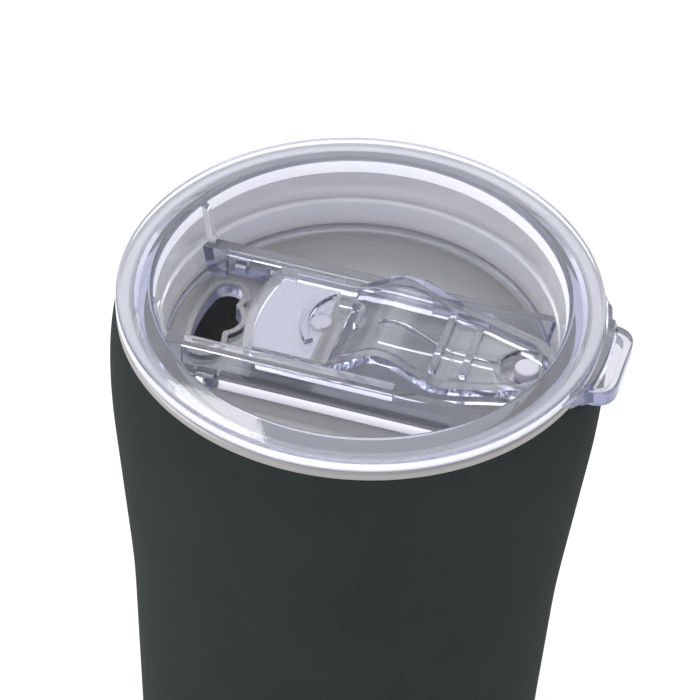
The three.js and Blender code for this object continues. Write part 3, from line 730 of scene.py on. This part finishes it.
def slider_outline(inset):
    """The slider from above, with a curved front edge and a narrower round tail, shrunk by inset."""
    half = SLIDER_HALF_WIDTH - inset
    radius = 36 - inset
    reach = math.degrees(math.asin(half / radius))
    tail = SLIDER_TAIL_Y - inset
    points = arc((0, SLIDER_FRONT_Y + 36), radius, -90 - reach, -90 + reach, 16)
    points += [(half, 12)]
    points += bent(points[-1], (half, 19), (9.3 - inset, 25), 8)
    points += [(7.6 - inset, 31)]
    points += bent(points[-1], (6.6 - inset, tail), (0, tail), 10)
    points += bent(points[-1], (inset - 6.6, tail), (inset - 7.6, 31), 10)
    points += [(inset - 9.3, 25)]
    points += bent(points[-1], (-half, 19), (-half, 12), 8)
    return points


def side_view(start, drop, base):
    """A side view of (y, z) from a level base up to drop below the rim, from start to the tail."""
    steps = [start] + [y for y in (HUMP_FRONT_Y + 0.8 * i for i in range(31)) if y > start] + [40]
    top = [(y, rim_height(y) - drop) for y in steps]
    return top + [(40, base), (start, base)]


slider = slab("clear_slider", side_view(-24, 0, slider_low_z), -14, 14, "X")
combine(slider, [slab("outline", slider_outline(0), CUT_LOW_Z, CUT_HIGH_Z)], "INTERSECT")
recess = slab("recess", side_view(HUMP_FRONT_Y + 1.6, 1.2, CUT_HIGH_Z), -14, 14, "X")
combine(recess, [slab("outline", slider_outline(1.9), CUT_LOW_Z, CUT_HIGH_Z)], "INTERSECT")
hollow = slab("hollow", side_view(-24, 2.9, CUT_LOW_Z), -14, 14, "X")
ceiling = block("ceiling", (-14, -24, CUT_LOW_Z), (14, 40, PLATE_TOP_Z - 1.6))
combine(hollow, [ceiling])
combine(hollow, [slab("outline", slider_outline(1.5), CUT_LOW_Z, CUT_HIGH_Z)], "INTERSECT")
combine(slider, [recess, hollow], "DIFFERENCE")
tongue = block("tongue", (SLIDER_HALF_WIDTH - 0.5, -15.6, slider_low_z), (13.1, 10.5, 159.9))
soften(tongue, lambda x, y, z: x > 13, 0.3)
mirrored(tongue)


def bar_outline(x, y, half_length, half_width):
    """A bar across the slider with round ends."""
    points = arc((x + half_length - half_width, y), half_width, -90, 90, 8)
    return points + arc((x - half_length + half_width, y), half_width, 90, 270, 8)


grip_bars = []
for y, half_length in ((15.7, 8.0), (21.2, 6.8)):
    top = rim_height(y) + 0.1
    bar = slab("grip_bar", bar_outline(0, y, half_length, 0.75), top - 2.6, top)
    soften(bar, lambda x, y, z: z > top - 0.01, 0.3)
    grip_bars.append(bar)

ridge = slab("ridge", side_view(4, 0.85, 158.5), -0.5, 0.5, "X")
combine(ridge, [block("ridge_reach", (-2, 4, CUT_LOW_Z), (2, 27, CUT_HIGH_Z))], "INTERSECT")
collar = slab(
    "collar",
    arc((0, 0), 11, -137, -48, 20) + arc((0, 0), 9.3, -48, -137, 20),
    PLATE_TOP_Z - 0.6, PLATE_TOP_Z + 0.9,
)
soften(collar, lambda x, y, z: z > PLATE_TOP_Z + 0.8, 0.4)
STUD_Y = -7.4
STUD_RADIUS = 1.9
hook_line = arc((-4, -1.6), 1.5, 180, 90, 6)
hook_back = arc((-4, -1.6), 0.5, 90, 180, 6)
hook = slab(
    "hook",
    [(-5.5, -5.2)] + hook_line + [(0.6, -0.1), (0.9, -0.6), (0.6, -1.1)] + hook_back + [(-4.5, -5.2)],
    160.5, 163.1,
)
soften(hook, lambda x, y, z: z > 163, 0.25)
POCKET_Y = 31.2
pocket_top_z = TAIL_TOP_Z - 1.1
pocket_wall = turned("pocket_wall", [
    (0, 158.2), (5.6, 158.2), (5.6, pocket_top_z), (0, pocket_top_z),
], 64, y=POCKET_Y)
combine(pocket_wall, [slab("outline", slider_outline(0.4), CUT_LOW_Z, CUT_HIGH_Z)], "INTERSECT")
combine(slider, [tongue] + grip_bars + [ridge, collar, hook, pocket_wall])
POST_Y = 31.65
combine(slider, [
    turned("stud_hole", [(0, CUT_LOW_Z), (2.1, CUT_LOW_Z), (2.1, 160.8), (0, 160.8)], 48, y=STUD_Y),
    turned("pocket", [(0, 159.1), (4.5, 159.1), (4.5, 170), (0, 170)], 64, y=POCKET_Y),
    turned("neck_hole", [(0, CUT_LOW_Z), (1.5, CUT_LOW_Z), (1.5, 170), (0, 170)], 32, y=POST_Y),
], "DIFFERENCE")
bowl_reach = turned("bowl_reach", [
    (0, CUT_LOW_Z), (35.4, CUT_LOW_Z), (35.4, 156.5), (37.4, 169.7), (37.4, CUT_HIGH_Z), (0, CUT_HIGH_Z),
], 96)
combine(slider, [bowl_reach], "INTERSECT")
smooth(slider)

cover = clear_plastic(
    "clear_cover", 0.97, ((0.88, 0.89, 0.94), (0.905, 0.91, 0.955)), (0.0, 0.04), (600.0, 80.0),
    0.000003, tint_density=45.0,
)
settle(slider, cover, "slider", "slider_body")

# ---------------------------------------------------------------- slider seal
# A white silicone pad under the cover's front plate that shuts the drink hole. A soft stud on its
# back, pushed up into a socket in the plate, holds it there.
PAD_LOW_Z, PAD_TOP_Z = 156.6, 159.4
pad = slab("white_pad", slider_outline(1.75), PAD_LOW_Z, PAD_TOP_Z)
combine(pad, [block("pad_reach", (-14, -24, CUT_LOW_Z), (14, -6.4, CUT_HIGH_Z))], "INTERSECT")
soften(pad, lambda x, y, z: True, 0.35)
stud = turned("stud", [(0, 158.9), (STUD_RADIUS, 158.9), (STUD_RADIUS, 160.6), (0, 160.6)], 48,
              rounds=[(2, 0.3, 4)], y=STUD_Y)
combine(pad, [stud])
smooth(pad)
white, white_shader, white_tree = plain_material("white_silicone", (0.5, 0.495, 0.57), 0.5)
add_grain(
    white_tree, white_shader, colours=((0.49, 0.485, 0.56), (0.53, 0.525, 0.6)),
    gloss=(0.42, 0.58), sizes=(1600.0, 50.0), depth=0.00001,
)
settle(pad, white, "slider", "slider_seal")

# ---------------------------------------------------------------- vent plug
# A mushroom-shaped silicone plug pulled through the pocket in the slider's tail. It shuts the vent
# hole when the slider is closed.
plug = turned("vent_plug_soft", [
    (0, PAD_LOW_Z), (3.1, PAD_LOW_Z), (3.1, 157.6), (1.2, 157.6), (1.2, 159.4), (2.25, 159.4),
    (2.25, 161.6), (0, 161.6),
], 48, rounds=[(6, 0.35, 4), (2, 0.2, 3), (1, 0.25, 3)], y=POST_Y)
settle(plug, white, "slider", "vent_plug")

# ---------------------------------------------------------------- base and vacuum parts
# The welded base plate with its bead of solder glass, the getter in its little cup under the liner,
# and the thin foil round the liner. They keep their CAD shapes and get real finishes.
base_steel = turned_steel("rolled_steel", (0.38, 0.375, 0.37), (0.48, 0.47, 0.46), (0.28, 0.4), 3.0)
foil = turned_steel("thin_foil", (0.6, 0.61, 0.62), (0.75, 0.76, 0.77), (0.25, 0.45), 1.0)
bead, bead_shader, bead_tree = plain_material("solder_glass", (0.25, 0.28, 0.24), 0.3)
add_grain(
    bead_tree, bead_shader, ((0.2, 0.23, 0.2), (0.3, 0.33, 0.28)), (0.25, 0.4), (2500.0, 300.0), 0.00001,
)
getter, getter_shader, getter_tree = plain_material("getter_alloy", (0.2, 0.2, 0.21), 0.7)
getter_shader.inputs["Metallic"].default_value = 0.8
add_grain(
    getter_tree, getter_shader, ((0.14, 0.14, 0.15), (0.26, 0.26, 0.27)), (0.6, 0.8), (2800.0, 250.0),
    0.00003,
)
for node, material in (
    ("base_plate", base_steel), ("seal_bead", bead), ("getter_cup", base_steel),
    ("getter_pill", getter), ("radiation_foil", foil),
):
    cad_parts[node].data.materials.clear()
    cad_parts[node].data.materials.append(material)

# ---------------------------------------------------------------- foot pad
# A grey silicone disc, moulded with a shallow ring of tread and pressed into the base ring. The mug
# stands on it.
pad_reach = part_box("foot_pad")[1].x * 1000
foot = turned("foot_disc", [
    (0, 0.3), (18, 0.3), (18.4, 0), (pad_reach - 4, 0), (pad_reach - 3.6, 0.3), (pad_reach - 2.6, 0.3),
    (pad_reach - 2.2, 0), (pad_reach - 1, 0), (pad_reach, 0.9), (pad_reach, 2.05), (0, 2.05),
], 128, rounds=[(7, 0.3, 3), (9, 0.2, 3)])
foot_rubber, foot_shader, foot_tree = plain_material("grey_silicone", (0.14, 0.15, 0.15), 0.7)
add_grain(
    foot_tree, foot_shader, ((0.12, 0.13, 0.13), (0.17, 0.18, 0.18)), (0.6, 0.8), (1800.0, 60.0), 0.00003,
)
settle(foot, foot_rubber, "mug", "foot_pad")
